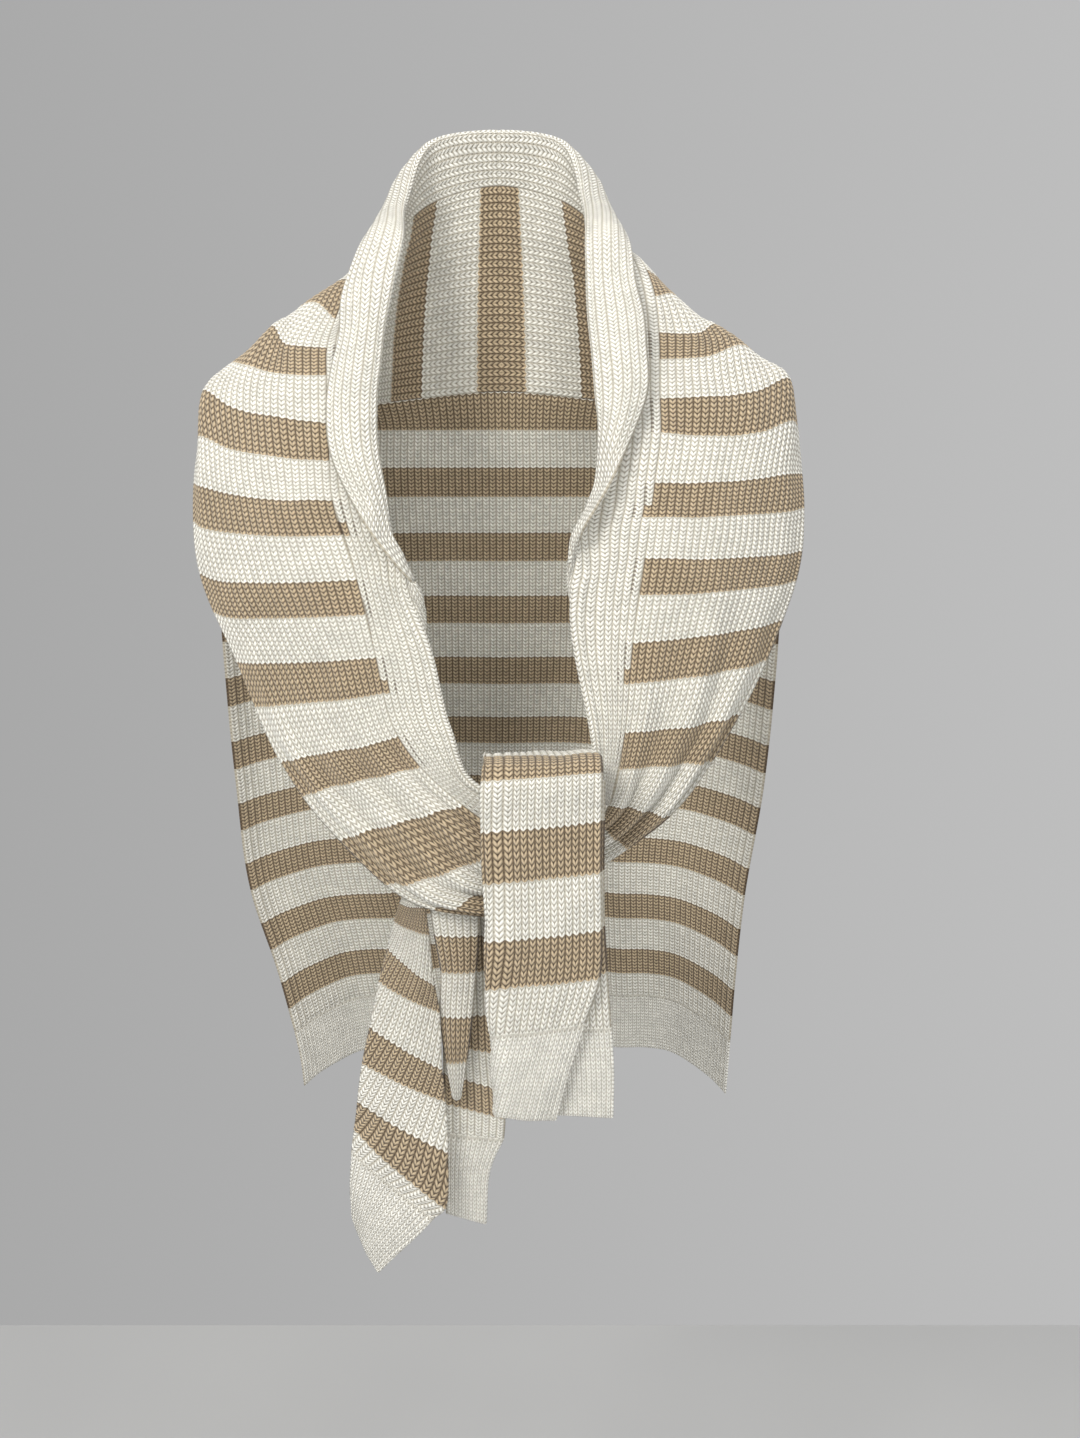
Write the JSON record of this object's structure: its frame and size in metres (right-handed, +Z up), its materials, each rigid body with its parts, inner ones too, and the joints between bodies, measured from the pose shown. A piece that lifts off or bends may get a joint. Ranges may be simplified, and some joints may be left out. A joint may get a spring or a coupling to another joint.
{
  "type": "knitted shoulder wrap",
  "caption": "Striped rib-knit shoulder wrap with a plain folded shawl collar, a long back and two fronts tied in a half knot that end in ribbed cuffs.",
  "frame": {"origin": "middle of the neck, level with the top of the shoulders, where the wrap is held up", "axes": "+Z up, +X towards the wearer's left, +Y towards the wearer's back"},
  "size_m": [0.4379, 0.3202, 0.7889],
  "materials": {
    "striped_knit": "cream and tan striped half-cardigan rib, matt soft yarn",
    "cream_rib": "plain cream rib, matt soft yarn",
    "cuff_rib": "fine plain cream rib, linked on with a flat seam"
  },
  "bodies": {
    "shoulder_drape": {"right_front": "striped_knit", "left_front": "striped_knit", "right_collar_band": "cream_rib", "left_collar_band": "cream_rib", "right_lapel": "cream_rib", "left_lapel": "cream_rib", "right_underfold": "cream_rib", "left_underfold": "cream_rib", "back_yoke": "striped_knit", "gathered_strand": "striped_knit", "knot_wrap": "striped_knit"},
    "flap": {"flap_front_leaf": "striped_knit", "flap_front_cuff": "cuff_rib", "flap_back_leaf": "striped_knit", "flap_back_cuff": "cuff_rib"},
    "tail": {"tail_outer_leaf": "striped_knit", "tail_outer_cuff": "cuff_rib", "tail_pleat": "striped_knit", "tail_inner_leaf": "striped_knit", "tail_inner_cuff": "cuff_rib"},
    "hanging_back": {"back_drape": "striped_knit", "back_hem_rib": "cuff_rib"}
  },
  "joints": [
    {"name": "flap_swing", "type": "hinge", "parent": "shoulder_drape", "child": "flap", "pos_m": [0.031, -0.166, -0.303], "axis": [-1, 0, 0], "range_deg": [0, 85]},
    {"name": "tail_swing", "type": "hinge", "parent": "shoulder_drape", "child": "tail", "pos_m": [-0.035, -0.124, -0.41], "axis": [-1, 0, 0], "range_deg": [0, 20]},
    {"name": "back_lift", "type": "hinge", "parent": "shoulder_drape", "child": "hanging_back", "pos_m": [0, 0.1, -0.1], "axis": [1, 0, 0], "range_deg": [0, 60]}
  ]
}
